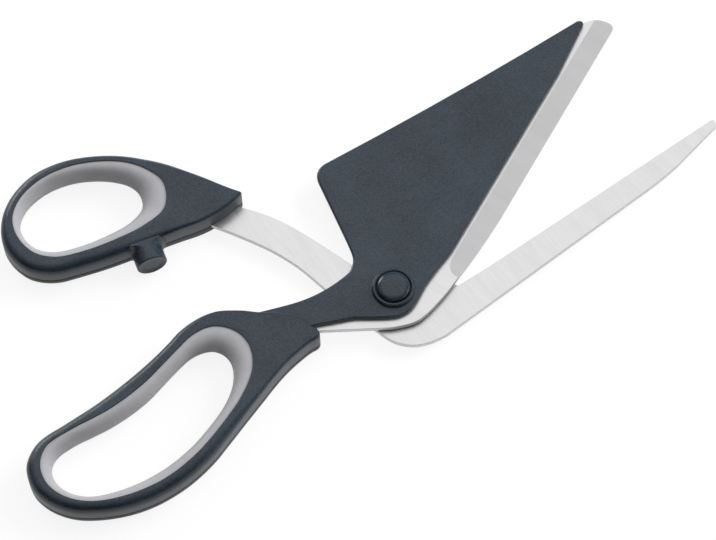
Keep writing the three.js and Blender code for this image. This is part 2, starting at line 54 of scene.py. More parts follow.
FOCAL_PIXELS = 2780
PIVOT_TOP = Vector((0, 0, 0.011))
PIVOT_FROM_CENTRE = (35.5, -16)  # pixels to the right of and above the picture's centre

away = Vector((math.sin(CAMERA_TURN), math.cos(CAMERA_TURN), 0))
rightward = Vector((math.cos(CAMERA_TURN), -math.sin(CAMERA_TURN), 0))
skyward = Vector((0, 0, 1))
forward = away * math.cos(CAMERA_RISE) - skyward * math.sin(CAMERA_RISE)
upward = away * math.sin(CAMERA_RISE) + skyward * math.cos(CAMERA_RISE)
aim = forward - (rightward * PIVOT_FROM_CENTRE[0] + upward * PIVOT_FROM_CENTRE[1]) / FOCAL_PIXELS
aim.normalize()
side = (rightward - aim * rightward.dot(aim)).normalized()
camera_data = bpy.data.cameras.new("camera")
camera_data.sensor_width = 36
camera_data.lens = FOCAL_PIXELS / PICTURE_WIDTH * camera_data.sensor_width
camera = bpy.data.objects.new("camera", camera_data)
bpy.context.scene.collection.objects.link(camera)
turned_camera = Matrix((side, side.cross(aim), -aim)).transposed().to_4x4()
camera.matrix_world = Matrix.Translation(PIVOT_TOP - forward * CAMERA_DISTANCE) @ turned_camera
bpy.context.scene.camera = camera


# Floor and light
# A white floor under a broad soft box and a dim sky. A dark curved card stands on the camera's side and on
# the left, where it is lower. A box on the right lights the walls but isn't mirrored, and two low boxes
# draw the bright lines on rounded plastic.
class Wire:
    """An output of a node, which can be used in sums with numbers and other outputs."""

    def __init__(self, tree, socket=None):
        self.tree = tree
        self.socket = socket

    def node(self, kind, inputs=None, output=0, **settings):
        """Adds a node of any kind, fills its inputs and gives one of its outputs."""
        made = self.tree.nodes.new(kind)
        for name, value in settings.items():
            setattr(made, name, value)
        for key, value in (inputs or {}).items():
            if isinstance(value, Wire):
                self.tree.links.new(value.socket, made.inputs[key])
            else:
                made.inputs[key].default_value = value
        return Wire(self.tree, made.outputs[output] if made.outputs else None)

    def other(self, output):
        """Another output of the same node."""
        return Wire(self.tree, self.socket.node.outputs[output])

    def maths(self, operation, *values):
        return self.node("ShaderNodeMath", dict(enumerate(values)), operation=operation)

    def __add__(self, other):
        return self.maths("ADD", self, other)

    def __radd__(self, other):
        return self.maths("ADD", other, self)

    def __sub__(self, other):
        return self.maths("SUBTRACT", self, other)

    def __rsub__(self, other):
        return self.maths("SUBTRACT", other, self)

    def __mul__(self, other):
        return self.maths("MULTIPLY", self, other)

    def __rmul__(self, other):
        return self.maths("MULTIPLY", other, self)

    def __truediv__(self, other):
        return self.maths("DIVIDE", self, other)

    def __rtruediv__(self, other):
        return self.maths("DIVIDE", other, self)


def plain_mesh(name, places, faces):
    mesh = bpy.data.meshes.new(name)
    mesh.from_pydata([tuple(place) for place in places], [], [tuple(face) for face in faces])
    mesh.validate()
    mesh.update()
    return mesh


def new_object(name, data):
    made = bpy.data.objects.new(name, data)
    bpy.context.scene.collection.objects.link(made)
    return made


def sheet_of(name, centre, across, upwards):
    corners = [centre + across * u + upwards * v for u, v in ((-1, -1), (1, -1), (1, 1), (-1, 1))]
    return new_object(name, plain_mesh(name, corners, [(0, 1, 2, 3)]))


def bare_material(name):
    made = bpy.data.materials.new(name)
    made.use_nodes = True
    made.node_tree.nodes.clear()
    return made, Wire(made.node_tree)


def show(tree, surface):
    tree.node("ShaderNodeOutputMaterial", {"Surface": surface})


FLOOR_SIZE = 6
FLOOR_GAP = 0.0001  # below the part
FLOOR_WHITE = (0.72, 0.72, 0.72, 1)  # as it lights the part
FLOOR_SHADE = (0.16, 0.16, 0.16, 1)  # as it takes the part's shadow
FLOOR_GLOW = 0.86  # as the camera sees it
FLOOR_MIRRORED = 0.7  # the share of that which steel and plastic show
floor = sheet_of("floor", Vector((0, 0, -FLOOR_GAP)), rightward * FLOOR_SIZE, away * FLOOR_SIZE)
floor_material, paint = bare_material("floor_white")
floor_light = paint.node("ShaderNodeBsdfDiffuse", {"Color": FLOOR_WHITE})
floor_dim = paint.node("ShaderNodeBsdfDiffuse", {"Color": FLOOR_SHADE})
floor_glow = paint.node("ShaderNodeEmission", {"Color": (1, 1, 1, 1), "Strength": FLOOR_GLOW})
floor_seen = paint.node("ShaderNodeAddShader", {0: floor_dim, 1: floor_glow})
rays = paint.node("ShaderNodeLightPath")
seen = rays.maths("MAXIMUM", rays.other("Is Camera Ray"), FLOOR_MIRRORED * rays.other("Is Glossy Ray"))
seen = rays.maths("MAXIMUM", seen, rays.other("Is Transmission Ray"))
show(paint, paint.node("ShaderNodeMixShader", {0: seen, 1: floor_light, 2: floor_seen}))
floor.data.materials.append(floor_material)

CARD_DISTANCE = 1.5
CARD_HEIGHT = 1.45
CARD_LOW_HEIGHT = 0.5  # on the left, so that the sky stands over it
CARD_LEFT = math.radians(-150)
CARD_RIGHT = math.radians(55)
CARD_FALL_START = math.radians(-55)
CARD_FALL = math.radians(35)
CARD_LIFT = 0.02
CARD_STEPS = 24
CARD_BLACK = (0.02, 0.02, 0.022, 1)
card_places = []
for step in range(CARD_STEPS + 1):
    angle = CARD_LEFT + (CARD_RIGHT - CARD_LEFT) * step / CARD_STEPS
    foot = (rightward * math.sin(angle) - away * math.cos(angle)) * CARD_DISTANCE
    fall = min(1, max(0, (CARD_FALL_START - angle) / CARD_FALL))
    top = CARD_HEIGHT + (CARD_LOW_HEIGHT - CARD_HEIGHT) * fall
    card_places += [foot + skyward * CARD_LIFT, foot + skyward * top]
card_faces = [(2 * step, 2 * step + 2, 2 * step + 3, 2 * step + 1) for step in range(CARD_STEPS)]
dark_card = new_object("dark_card", plain_mesh("dark_card", card_places, card_faces))
card_material, paint = bare_material("card_black")
show(paint, paint.node("ShaderNodeBsdfDiffuse", {"Color": CARD_BLACK}))
dark_card.data.materials.append(card_material)
dark_card.visible_camera = False

SKY_STRENGTH = 0.38
world = bpy.data.worlds.new("white_sky")
bpy.context.scene.world = world
world.use_nodes = True
world.node_tree.nodes["Background"].inputs["Color"].default_value = (1, 1, 1, 1)
world.node_tree.nodes["Background"].inputs["Strength"].default_value = SKY_STRENGTH


def soft_box(name, place, width, height, power):
    """A lit rectangle that faces the pivot."""
    light = bpy.data.lights.new(name, "AREA")
    light.shape = "RECTANGLE"
    light.size = width
    light.size_y = height
    light.energy = power
    box = new_object(name, light)
    box.matrix_world = Matrix.Translation(place) @ (-place).to_track_quat("-Z", "Y").to_matrix().to_4x4()
    return box


right_place = rightward * 1.1 + away * 0.65 + skyward * 0.8
low_place = rightward * 1.3 + away * 0.15 + skyward * 0.33
left_place = away * 0.95 - rightward * 0.85 + skyward * 0.4
soft_box("top_box", away * 0.7 + skyward * 1.7, width=2.4, height=2.4, power=11)
right_box = soft_box("right_box", right_place, width=1.0, height=0.8, power=21)
right_box.visible_glossy = False
soft_box("low_box", low_place, width=0.5, height=0.2, power=1.2)
soft_box("left_box", left_place, width=0.5, height=0.3, power=5)
bpy.context.scene.view_settings.view_transform = "Standard"


# Spatula
# A serving plate of slate plastic, moulded in one with its neck and with the collar round the cap.
# It lies on the upper blade and is held by two pegs that go down into the blade.
def section(node, height):
    """The closed lines in which a level plane cuts a CAD node, the longest first."""
    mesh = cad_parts[node].data
    mesh.calc_loop_triangles()
    links = {}
    for triangle in mesh.loop_triangles:
        corners = [tuple(mesh.vertices[index].co) for index in triangle.vertices]
        ends = []
        for start, end in zip(corners, corners[1:] + corners[:1]):
            first, last = sorted((start, end))
            if (first[2] > height) != (last[2] > height):
                share = (height - first[2]) / (last[2] - first[2])
                ends.append(tuple(first[axis] + share * (last[axis] - first[axis]) for axis in (0, 1)))
        if len(ends) == 2:
            links.setdefault(ends[0], []).append(ends[1])
            links.setdefault(ends[1], []).append(ends[0])
    lines = []
    while links:
        line = [next(iter(links))]
        while line[-1] in links:
            onward = [end for end in links.pop(line[-1]) if end in links]
            if onward:
                line.append(onward[0])
        lines.append(anticlockwise(np.array(line)))
    return sorted(lines, key=lambda line: -side_lengths(line).sum())


def side_lengths(line):
    """The lengths of a closed line's sides."""
    return np.linalg.norm(np.roll(line, -1, axis=0) - line, axis=1)


def anticlockwise(line):
    """The same closed line, run anticlockwise."""
    after = np.roll(line, -1, axis=0)
    area = (line[:, 0] * after[:, 1] - line[:, 1] * after[:, 0]).sum()
    return line if area > 0 else line[::-1]


def turns(line):
    """How far a closed line turns at each of its points, in radians."""
    behind = line - np.roll(line, 1, axis=0)
    ahead = np.roll(line, -1, axis=0) - line
    cross = behind[:, 0] * ahead[:, 1] - behind[:, 1] * ahead[:, 0]
    return np.abs(np.arctan2(cross, (behind * ahead).sum(axis=1)))


FINE = 12  # points drawn between two knots before a line is spread out evenly
LEAST_TURN = math.radians(0.2)  # what turns less is straight
POINT = 1e-7  # the radius of a ring that closes a turned piece
SAME = 1e-6  # places that are nearer than this are one place


def fair(line, step, corner=math.radians(30), straight=1.0):
    """A smooth closed line through the corners of a cut, which keeps sharp corners and long straights."""
    line = line[np.append(True, np.linalg.norm(np.diff(line, axis=0), axis=1) > SAME)]
    line = line[turns(line) > LEAST_TURN]
    lengths = side_lengths(line)
    long = lengths > straight
    sharp = turns(line) > corner
    breaks = np.flatnonzero(sharp | long | np.roll(long, 1))
    if len(breaks) == 0:
        closed = np.concatenate([line[-3:], line, line[:4]])
        return spread(curve_through(closed, None, None)[3 * FINE:(len(line) + 3) * FINE + 1], step)
    line = np.roll(line, -breaks[0], axis=0)
    sharp = np.roll(sharp, -breaks[0])
    breaks = np.append(breaks - breaks[0], len(line))
    spans = []
    for first, last in zip(breaks, breaks[1:]):
        knots = np.take(line, range(first, last + 1), axis=0, mode="wrap")
        before = None if sharp[first] else knots[0] - line[first - 1]
        beyond = np.take(line, last + 1, axis=0, mode="wrap")
        after = None if sharp[last % len(line)] else beyond - knots[-1]
        if len(knots) == 2:
            spans.append(spread(knots, step))
        else:
            spans.append(spread(curve_through(knots, before, after), step))
    return np.concatenate(spans)


def curve_through(knots, before, after):
    """A smooth open line through knots, which may leave and arrive along given directions."""
    gaps = np.linalg.norm(np.diff(knots, axis=0), axis=1)[:, None]
    slopes = np.diff(knots, axis=0) / gaps
    inner = (slopes[:-1] * gaps[1:] + slopes[1:] * gaps[:-1]) / (gaps[:-1] + gaps[1:])
    first = 2 * slopes[0] - inner[0] if before is None else before / np.linalg.norm(before)
    last = 2 * slopes[-1] - inner[-1] if after is None else after / np.linalg.norm(after)
    headings = np.concatenate([[first], inner, [last]])
    share = (np.arange(FINE) / FINE)[None, :, None]
    near, far = knots[:-1, None], knots[1:, None]
    leaving = headings[:-1, None] * gaps[:, None]
    arriving = headings[1:, None] * gaps[:, None]
    places = near * (2 * share**3 - 3 * share**2 + 1) + leaving * (share**3 - 2 * share**2 + share)
    places = places + far * (3 * share**2 - 2 * share**3) + arriving * (share**3 - share**2)
    return np.concatenate([places.reshape(-1, 2), knots[-1:]])


def spread(places, step):
    """Even points along an open line, without its end."""
    travelled = np.append(0, np.cumsum(np.linalg.norm(np.diff(places, axis=0), axis=1)))
    count = max(1, round(travelled[-1] / step))
    stops = np.arange(count) / count * travelled[-1]
    return np.column_stack([np.interp(stops, travelled, places[:, axis]) for axis in (0, 1)])


def inset(line, amount):
    """An anticlockwise line moved inwards by an amount, which may differ from point to point."""
    ahead = np.roll(line, -1, axis=0) - line
    ahead = ahead / np.linalg.norm(ahead, axis=1)[:, None]
    along = ahead + np.roll(ahead, 1, axis=0)
    along = along / np.linalg.norm(along, axis=1)[:, None]
    inward = np.column_stack([-along[:, 1], along[:, 0]])
    mitre = 1 / np.maximum(0.4, (along * ahead).sum(axis=1))
    return line + inward * (np.broadcast_to(amount, len(line)) * mitre)[:, None]


def level(line, height):
    """The points of a flat line at a height, which may differ from point to point."""
    return np.column_stack([line, np.broadcast_to(height, len(line))])


def circle(radius, count=96):
    angles = np.arange(count) / count * math.tau
    return radius * np.column_stack([np.cos(angles), np.sin(angles)])


def quarter(steps):
    """Angles over a quarter of a turn."""
    return [math.pi / 2 * step / steps for step in range(steps + 1)]


def rounding(line, radius, face, side, steps=7, move=inset):
    """Rows over a rounded edge, from the wall in to a face above it (side 1) or below it (side -1)."""
    rows = []
    for angle in quarter(steps):
        inward = move(line, radius * (1 - math.cos(angle)))
        rows.append(level(inward, face - side * radius * (1 - math.sin(angle))))
    return rows


def ringed(made, rows):
    """Adds rows of points as rings with faces between them, and gives the rings."""
    rings = [[made.verts.new(place) for place in row] for row in rows]
    for lower, upper in zip(rings, rings[1:]):
        for near, far in zip(range(len(lower)), [*range(1, len(lower)), 0]):
            made.faces.new((lower[near], lower[far], upper[far], upper[near]))
    return rings


def faced_outwards(mesh):
    """Turns the faces of a closed mesh outwards."""
    made = bmesh.new()
    made.from_mesh(mesh)
    bmesh.ops.recalc_face_normals(made, faces=made.faces)
    made.to_mesh(mesh)
    made.free()
    return mesh


def plate(name, outside, holes=()):
    """A closed plate from rows of points round its edge and round its holes, each from the underside up."""
    made = bmesh.new()
    ends = {0: [], -1: []}
    for rows in (outside, *holes):
        rings = ringed(made, rows)
        for end in ends:
            ends[end].append(rings[end])
    for loops in ends.values():
        border = []
        for loop in loops:
            for near, far in zip(loop, loop[1:] + loop[:1]):
                border.append(made.edges.get((near, far)) or made.edges.new((near, far)))
        bmesh.ops.triangle_fill(made, use_beauty=True, edges=border)
    mesh = bpy.data.meshes.new(name)
    made.to_mesh(mesh)
    made.free()
    return faced_outwards(mesh)


def skinned(name, rows):
    """A closed mesh over rings of points, of which the first and the last are no wider than a point."""
    made = bmesh.new()
    ringed(made, rows)
    bmesh.ops.remove_doubles(made, verts=made.verts, dist=SAME)
    mesh = bpy.data.meshes.new(name)
    made.to_mesh(mesh)
    made.free()
    return faced_outwards(mesh)


def turned(name, profile):
    """A piece turned from a profile of radius and height pairs that starts and ends on the axis."""
    return skinned(name, [level(circle(max(radius, POINT)), height) for radius, height in profile])


def joined(mesh, *others):
    """A mesh with others added to it."""
    made = bmesh.new()
    for part in (mesh, *others):
        made.from_mesh(part)
    made.to_mesh(mesh)
    made.free()
    return mesh


def piece(name, mesh, material, body, nodes, sharp=math.radians(38)):
    """Shows a mesh in place of its CAD nodes."""
    mesh.polygons.foreach_set("use_smooth", [True] * len(mesh.polygons))
    if sharp:
        mesh.set_sharp_from_angle(angle=sharp)
    mesh.materials.clear()
    mesh.materials.append(material)
    made = new_object(name, mesh)
    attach(made, body)
    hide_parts(*nodes)
    return made


PITS = 1700  # per metre
PIT_DEPTH = 0.00012
CLOUDS = 60  # per metre


def moulded(name, dark, light, roughness, grain):
    """Moulded plastic with a spark-eroded grain: fine pits and a slow change of tone."""
    made, paint = bare_material(name)
    place = paint.node("ShaderNodeTexCoord", output="Object")
    pits = paint.node("ShaderNodeTexNoise", {"Vector": place, "Scale": PITS, "Detail": 3, "Roughness": 0.7})
    cloud = paint.node("ShaderNodeTexNoise", {"Vector": place, "Scale": CLOUDS, "Detail": 3})
    tone = paint.node("ShaderNodeClamp", {"Value": 0.5 + (0.75 * pits + 0.25 * cloud - 0.5) * 4})
    colour = paint.node("ShaderNodeMix", {0: tone, 6: (*dark, 1), 7: (*light, 1)}, 2, data_type="RGBA")
    gloss = roughness - 0.1 + 0.2 * pits
    relief = paint.node("ShaderNodeBump", {"Height": pits, "Strength": grain, "Distance": PIT_DEPTH})
    finish = {"Base Color": colour, "Roughness": gloss, "Normal": relief, "Specular IOR Level": 0.58}
    show(paint, paint.node("ShaderNodeBsdfPrincipled", finish))
    return made


SPATULA_EDGE = 0.0009  # along the free edges
SPATULA_NEAR_EDGE = 0.0004  # beside the ground band and along the neck
SPATULA_UNDER_EDGE = 0.0004
COLLAR_FILLET = 0.0005
COLLAR_ROOM = 0.0003  # between the collar and the cap
COLLAR_WALL = 0.0014
PEG_CHAMFER = 0.0002
spatula_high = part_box("spatula")[1]
cap_low, cap_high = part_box("pivot_cap")
blade_low, blade_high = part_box("upper_blade")
plate_bottom = blade_high.z
plate_top = cap_low.z
spatula_cuts = section("spatula", (plate_bottom + plate_top) / 2)
spatula_line = fair(spatula_cuts[0], 0.001, straight=0.012)
outward = spatula_line - inset(spatula_line, 0.001)
facing = outward @ np.array((-away.y, away.x)) / np.linalg.norm(outward, axis=1)
spatula_radius = SPATULA_NEAR_EDGE + (SPATULA_EDGE - SPATULA_NEAR_EDGE) * np.clip(0.5 + facing, 0, 1)
spatula_edge = rounding(spatula_line, SPATULA_UNDER_EDGE, plate_bottom, -1)[::-1]
spatula_edge += rounding(spatula_line, spatula_radius, plate_top, 1)
bore = min(np.linalg.norm(cut, axis=1).max() for cut in spatula_cuts[1:])
collar_top = spatula_high.z
collar_inside = (cap_high.x - cap_low.x) / 2 + COLLAR_ROOM
collar_outside = collar_inside + COLLAR_WALL
rim = COLLAR_WALL / 2
collar = [(bore, plate_bottom), (bore, plate_top), (collar_inside, plate_top)]
for step in range(9):
    angle = math.pi * (1 - step / 8)
    collar.append((collar_inside + rim + rim * math.cos(angle), collar_top - rim + rim * math.sin(angle)))
for turn in quarter(4):
    across = collar_outside + COLLAR_FILLET * (1 + math.cos(math.pi + turn))
    collar.append((across, plate_top + COLLAR_FILLET * (1 + math.sin(math.pi + turn))))
collar_rows = [level(circle(radius), height) for radius, height in collar]
spatula_mesh = plate("spatula_plate", spatula_edge, [collar_rows])
pegs = []
for cut in section("spatula", (blade_low.z + blade_high.z) / 2):
    peg_line = cut.mean(axis=0) + circle(side_lengths(cut).sum() / math.tau, 48)
    pegs.append(plate("peg", [
        level(inset(peg_line, PEG_CHAMFER), blade_low.z), level(peg_line, blade_low.z + PEG_CHAMFER),
        level(peg_line, plate_bottom),
    ]))
spatula_mesh = joined(spatula_mesh, *pegs)
SLATE_DARK = (0.003, 0.010, 0.018)
SLATE_LIGHT = (0.027, 0.0435, 0.0625)
slate = moulded("slate_plastic", SLATE_DARK, SLATE_LIGHT, roughness=0.36, grain=0.5)
piece("spatula_plate", spatula_mesh, slate, "finger_half", ["spatula"])


# Upper blade
# Sheet steel, brushed across its length, with a bevel ground on its upper face along the cutting edge and a
# round run-out where the wheel left it beside the pivot. Its tang runs into the finger handle.
def cut_out(mesh, *cutters):
    """The mesh less the cutters."""
    made = new_object("cut", mesh)
    tools = [new_object("cutter", cutter) for cutter in cutters]
    for tool in tools:
        less = made.modifiers.new("less", "BOOLEAN")
        less.operation = "DIFFERENCE"
        less.solver = "EXACT"
        less.object = tool
    left = bpy.data.meshes.new_from_object(made.evaluated_get(bpy.context.evaluated_depsgraph_get()))
    left.name = mesh.name
    for used in (made, *tools):
        bpy.data.objects.remove(used)
    return left


def straightest(line):
    """Start and direction of a line's longest straight."""
    corners = line[turns(line) > LEAST_TURN]
    lengths = side_lengths(corners)
    longest = int(lengths.argmax())
    end = corners[(longest + 1) % len(corners)]
    return corners[longest], (end - corners[longest]) / lengths[longest]


FINE_STREAKS = (3200, 90)  # per metre, along the blade and across it
WIDE_STREAKS = (240, 30)
STREAK_DEPTH = 0.0001


def brushed(name, heading, flat, ground, cut):
    """Steel brushed across a heading, with its own tone where it is ground, and a darker tone on the steep
    cut walls that is partly their finish and partly painted shade.
    """
    made, paint = bare_material(name)
    place = paint.node("ShaderNodeTexCoord", output="Object")
    angle = -math.atan2(heading[1], heading[0])
    turned_place = paint.node(
        "ShaderNodeVectorRotate", {"Vector": place, "Angle": angle}, rotation_type="Z_AXIS"
    )
    split = paint.node("ShaderNodeSeparateXYZ", {0: turned_place})
    along, across = split, split.other("Y")
    fine_place, wide_place = (
        paint.node("ShaderNodeCombineXYZ", {0: along * lengthwise, 1: across * crosswise})
        for lengthwise, crosswise in (FINE_STREAKS, WIDE_STREAKS)
    )
    fine = paint.node(
        "ShaderNodeTexNoise", {"Vector": fine_place, "Scale": 1, "Detail": 3, "Roughness": 0.7}
    )
    wide = paint.node("ShaderNodeTexNoise", {"Vector": wide_place, "Scale": 1, "Detail": 2})
    streaks = paint.node("ShaderNodeClamp", {"Value": 0.5 + (0.6 * fine + 0.4 * wide - 0.5) * 2.4})
    dim = tuple(0.80 * value for value in flat)
    colour = paint.node("ShaderNodeMix", {0: streaks, 6: (*dim, 1), 7: (*flat, 1)}, 2, data_type="RGBA")
    is_ground = paint.node("ShaderNodeAttribute", {}, "Fac", attribute_name="ground")
    is_cut_and_shaded = paint.node("ShaderNodeAttribute", {}, "Fac", attribute_name="cut")
    colour = paint.node("ShaderNodeMix", {0: is_ground, 6: colour, 7: (*ground, 1)}, 2, data_type="RGBA")
    # steep cut walls turn darker: partly the rougher sheared finish, partly painted shade of the shadowed
    # floor they mirror
    colour = paint.node("ShaderNodeMix", {0: is_cut_and_shaded, 6: colour, 7: (*cut, 1)}, 2, data_type="RGBA")
    gloss = 0.26 + 0.12 * streaks + 0.1 * is_ground + 0.15 * is_cut_and_shaded
    relief = paint.node("ShaderNodeBump", {"Height": fine, "Strength": 0.05, "Distance": STREAK_DEPTH})
    finish = {"Base Color": colour, "Roughness": gloss, "Normal": relief, "Metallic": 1}
    show(paint, paint.node("ShaderNodeBsdfPrincipled", finish))
    return made


def blank(name, cuts, low, high):
    """The outline of a blade and its plate as cut from the sheet, before it is ground."""
    line = fair(cuts[0], 0.0008, straight=0.012)
    rows = [
        level(inset(line, BLADE_EDGE), low), level(line, low + BLADE_EDGE),
        level(line, high - BLADE_EDGE), level(inset(line, BLADE_EDGE), high),
    ]
    holes = [fair(cut, 0.0004, corner=3) for cut in cuts[1:]]
    return line, plate(name, rows, [[level(hole, low), level(hole, high)] for hole in holes])


STEEP = 0.9  # a face whose normal rises less than this was cut, and is darkened partly as painted shade
TILTED = 0.9995  # and one whose normal rises less than this was ground


def finished(mesh):
    """Marks a blade's ground faces and its cut faces, which also take painted shade, and keeps the edges
    between finishes crisp.
    """
    made = bmesh.new()
    made.from_mesh(mesh)
    ground = made.faces.layers.float.new("ground")
    cut = made.faces.layers.float.new("cut")
    for face in made.faces:
        rise = abs(face.normal.z)
        face[cut] = float(rise < STEEP)
        face[ground] = float(STEEP <= rise < TILTED)
    for edge in made.edges:
        sides = {(face[cut], face[ground], face.normal.z > STEEP) for face in edge.link_faces}
        edge.smooth = len(sides) == 1
    made.to_mesh(mesh)
    made.free()
    return mesh


BLADE_EDGE = 0.00012
BLADE_LAND = 0.0006  # what grinding leaves of the cutting edge's height
GRIND_START = 0.016  # from the pivot, along the cutting edge
GRIND_LENGTH = 0.2
GRIND_PAST = 0.004  # outside the cutting edge
GRIND_CLEAR = 0.01  # above or below the blade
UPPER_BEVEL = 0.0077
upper_cuts = section("upper_blade", blade_low.z + BLADE_LAND / 2)
upper_line, upper_plate = blank("upper_blade_steel", upper_cuts, blade_low.z, blade_high.z)
upper_start, upper_heading = straightest(upper_cuts[0])
upper_across = np.array([-upper_heading[1], upper_heading[0]])
run_out = upper_start + upper_heading * (GRIND_START - upper_start @ upper_heading)
reach = [
    (0, -GRIND_PAST), (GRIND_LENGTH, -GRIND_PAST), (GRIND_LENGTH, UPPER_BEVEL), (UPPER_BEVEL, UPPER_BEVEL)
]
for step in range(1, 13):
    share = step / 12
    reach.append((UPPER_BEVEL * (1 - share) ** 2, UPPER_BEVEL * (1 - share**2 * 2 / 3)))
reach = np.array(reach)
grind_line = anticlockwise(run_out + reach[:, :1] * upper_heading + reach[:, 1:] * upper_across)
grind_drop = (blade_high.z - blade_low.z - BLADE_LAND) / UPPER_BEVEL
grind_depth = blade_high.z - (UPPER_BEVEL - (grind_line - run_out) @ upper_across) * grind_drop
grinding = plate("grinding", [level(grind_line, grind_depth), level(grind_line, blade_high.z + GRIND_CLEAR)])
STEEL_FLAT = (0.88, 0.88, 0.89)
STEEL_GROUND = (0.68, 0.68, 0.69)
# the tone of the steep walls: partly their sheared finish, partly painted shade
STEEL_CUT_AND_SHADE = (0.70, 0.70, 0.71)
upper_steel = brushed("upper_blade_steel", upper_heading, STEEL_FLAT, STEEL_GROUND, STEEL_CUT_AND_SHADE)
upper_mesh = finished(cut_out(upper_plate, grinding))
piece(
    "upper_blade_steel", upper_mesh, upper_steel, "finger_half", ["upper_blade"], sharp=None
)


# Lower blade
# The same steel, flat on its upper face and ground on its underside, with a long arched tang into the thumb
# handle. Like the upper blade it is cut from sheet, brushed and then ground.
LOWER_BEVEL = 0.006
lower_low, lower_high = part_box("lower_blade")
lower_cuts = section("lower_blade", lower_high.z - BLADE_LAND / 2)
lower_line, lower_plate = blank("lower_blade_steel", lower_cuts, lower_low.z, lower_high.z)
lower_start, lower_heading = straightest(lower_cuts[0])
lower_across = np.array([-lower_heading[1], lower_heading[0]])
lower_drop = (lower_high.z - lower_low.z - BLADE_LAND) / LOWER_BEVEL
under_start = lower_start + lower_heading * (GRIND_START - lower_start @ lower_heading)
reach = np.array([
    (0, -GRIND_PAST), (GRIND_LENGTH, -GRIND_PAST), (GRIND_LENGTH, LOWER_BEVEL), (0, LOWER_BEVEL)
])
under_line = anticlockwise(under_start + reach[:, :1] * lower_heading + reach[:, 1:] * lower_across)
under_height = lower_low.z + (LOWER_BEVEL - (under_line - under_start) @ lower_across) * lower_drop
under_rows = [level(under_line, lower_low.z - GRIND_CLEAR), level(under_line, under_height)]
under_grinding = plate("grinding", under_rows)
lower_steel = brushed("lower_blade_steel", lower_heading, STEEL_FLAT, STEEL_GROUND, STEEL_CUT_AND_SHADE)
lower_mesh = finished(cut_out(lower_plate, under_grinding))
piece(
    "lower_blade_steel", lower_mesh, lower_steel, "thumb_half", ["lower_blade"], sharp=None
)


# Finger handle
# Two shells of slate plastic, pinned and glued together round the tang. Their edge is narrowly rounded at
# the nose and grows rounder towards the loop; a fine seam shows where they meet.
def matched(line, angles, centre):
    """Points of a line in the directions of some angles about a centre inside it."""
    dense = fair(line, 0.0004, corner=3)
    bearing = np.unwrap(np.arctan2(dense[:, 1] - centre[1], dense[:, 0] - centre[0]))
    order = np.argsort(bearing % math.tau)
    stops = (bearing % math.tau)[order]
    return np.column_stack([
        np.interp(angles % math.tau, stops, dense[order, axis], period=math.tau) for axis in (0, 1)
    ])


def soften(line, reach):
    """Rounds the sharp corners of an evenly spread line over some points on each side."""
    sharp = turns(line) > math.radians(15)
    near = sharp.copy()
    for step in range(1, reach + 1):
        near |= np.roll(sharp, step) | np.roll(sharp, -step)
    for _ in range(reach * reach):
        middle = (np.roll(line, 1, axis=0) + 2 * line + np.roll(line, -1, axis=0)) / 4
        line = np.where(near[:, None], middle, line)
    return line


def room_inside(line):
    """For each point of a line, the radius of the largest circle inside that touches the line there."""
    along = np.roll(line, -1, axis=0) - np.roll(line, 1, axis=0)
    inward = np.column_stack([-along[:, 1], along[:, 0]]) / np.linalg.norm(along, axis=1)[:, None]
    apart = line - line[:, None]
    depth = np.maximum((apart * inward[:, None]).sum(axis=2), 1e-9)
    radius = (apart**2).sum(axis=2) / (2 * depth)
    np.fill_diagonal(radius, np.inf)
    return radius.min(axis=1)


def mitred(line, amount):
    """An inset line whose points stop where the two sides of a corner meet."""
    moved = inset(line, amount)
    free = np.flatnonzero(amount < 0.95 * room_inside(line))
    order = np.arange(len(line))
    return np.column_stack([np.interp(order, free, moved[free, axis], period=len(line)) for axis in (0, 1)])


def smooth_step(low, high, value):
    share = np.clip((value - low) / (high - low), 0, 1)
    return share * share * (3 - 2 * share)


def shells(outer, pocket, below, near, far, bottom, top):
    """Rows of the upper and lower shell of a handle, whose edge grows rounder away from the pivot."""
    centre = pocket.mean(axis=0)
    angles = np.arctan2(outer[:, 1] - centre[1], outer[:, 0] - centre[0])
    inner = matched(pocket, angles, centre)
    wall = np.linalg.norm(outer - inner, axis=1)
    radius = NOSE_EDGE + (LOOP_EDGE - NOSE_EDGE) * smooth_step(near, far, np.linalg.norm(outer, axis=1))
    radius = np.minimum(radius, 0.8 * wall)
    lip = SHELL_LIP
    crease = SEAM_CREASE
    face = mitred(outer, radius)
    upper = [level(inner, seam_high), level(inner, top - lip)]
    out = (outer - inner) / wall[:, None]
    start = inner + out * lip
    upper += [level(inner + out * lip * 0.3, top - lip * 0.3), level(start, top)]
    upper += [level(start + (face - start) * share, top) for share in (0.25, 0.5, 0.75, 0.95)]
    upper += rounding(outer, radius, top, 1, 10, mitred)[::-1]
    upper += [level(outer, seam_high + crease), level(inset(outer, crease * 0.3), seam_high + crease * 0.3)]
    upper += [level(inset(outer, crease), seam_high)]
    under = np.minimum(UNDER_EDGE, np.minimum(below * radius, 0.6 * wall))
    foot = mitred(outer, under)
    lower = [level(inner, bottom + lip), level(start, bottom)]
    lower += [level(start + (foot - start) * share, bottom) for share in (0.3, 0.6, 0.95)]
    lower += rounding(outer, under, bottom, -1, 8, mitred)[::-1]
    lower += [level(outer, seam_low - crease), level(inset(outer, crease * 0.3), seam_low - crease * 0.3)]
    lower += [level(inset(outer, crease), seam_low), level(inner, seam_low)]
    return upper, lower


def ring_mesh(name, rows):
    """A closed ring skinned over rows of points, the last joined to the first."""
    count = len(rows[0])
    faces = []
    for here in range(len(rows)):
        there = (here + 1) % len(rows)
        for near in range(count):
            far = (near + 1) % count
            faces.append((
                here * count + near, here * count + far, there * count + far, there * count + near
            ))
    return faced_outwards(plain_mesh(name, np.concatenate(rows), faces))


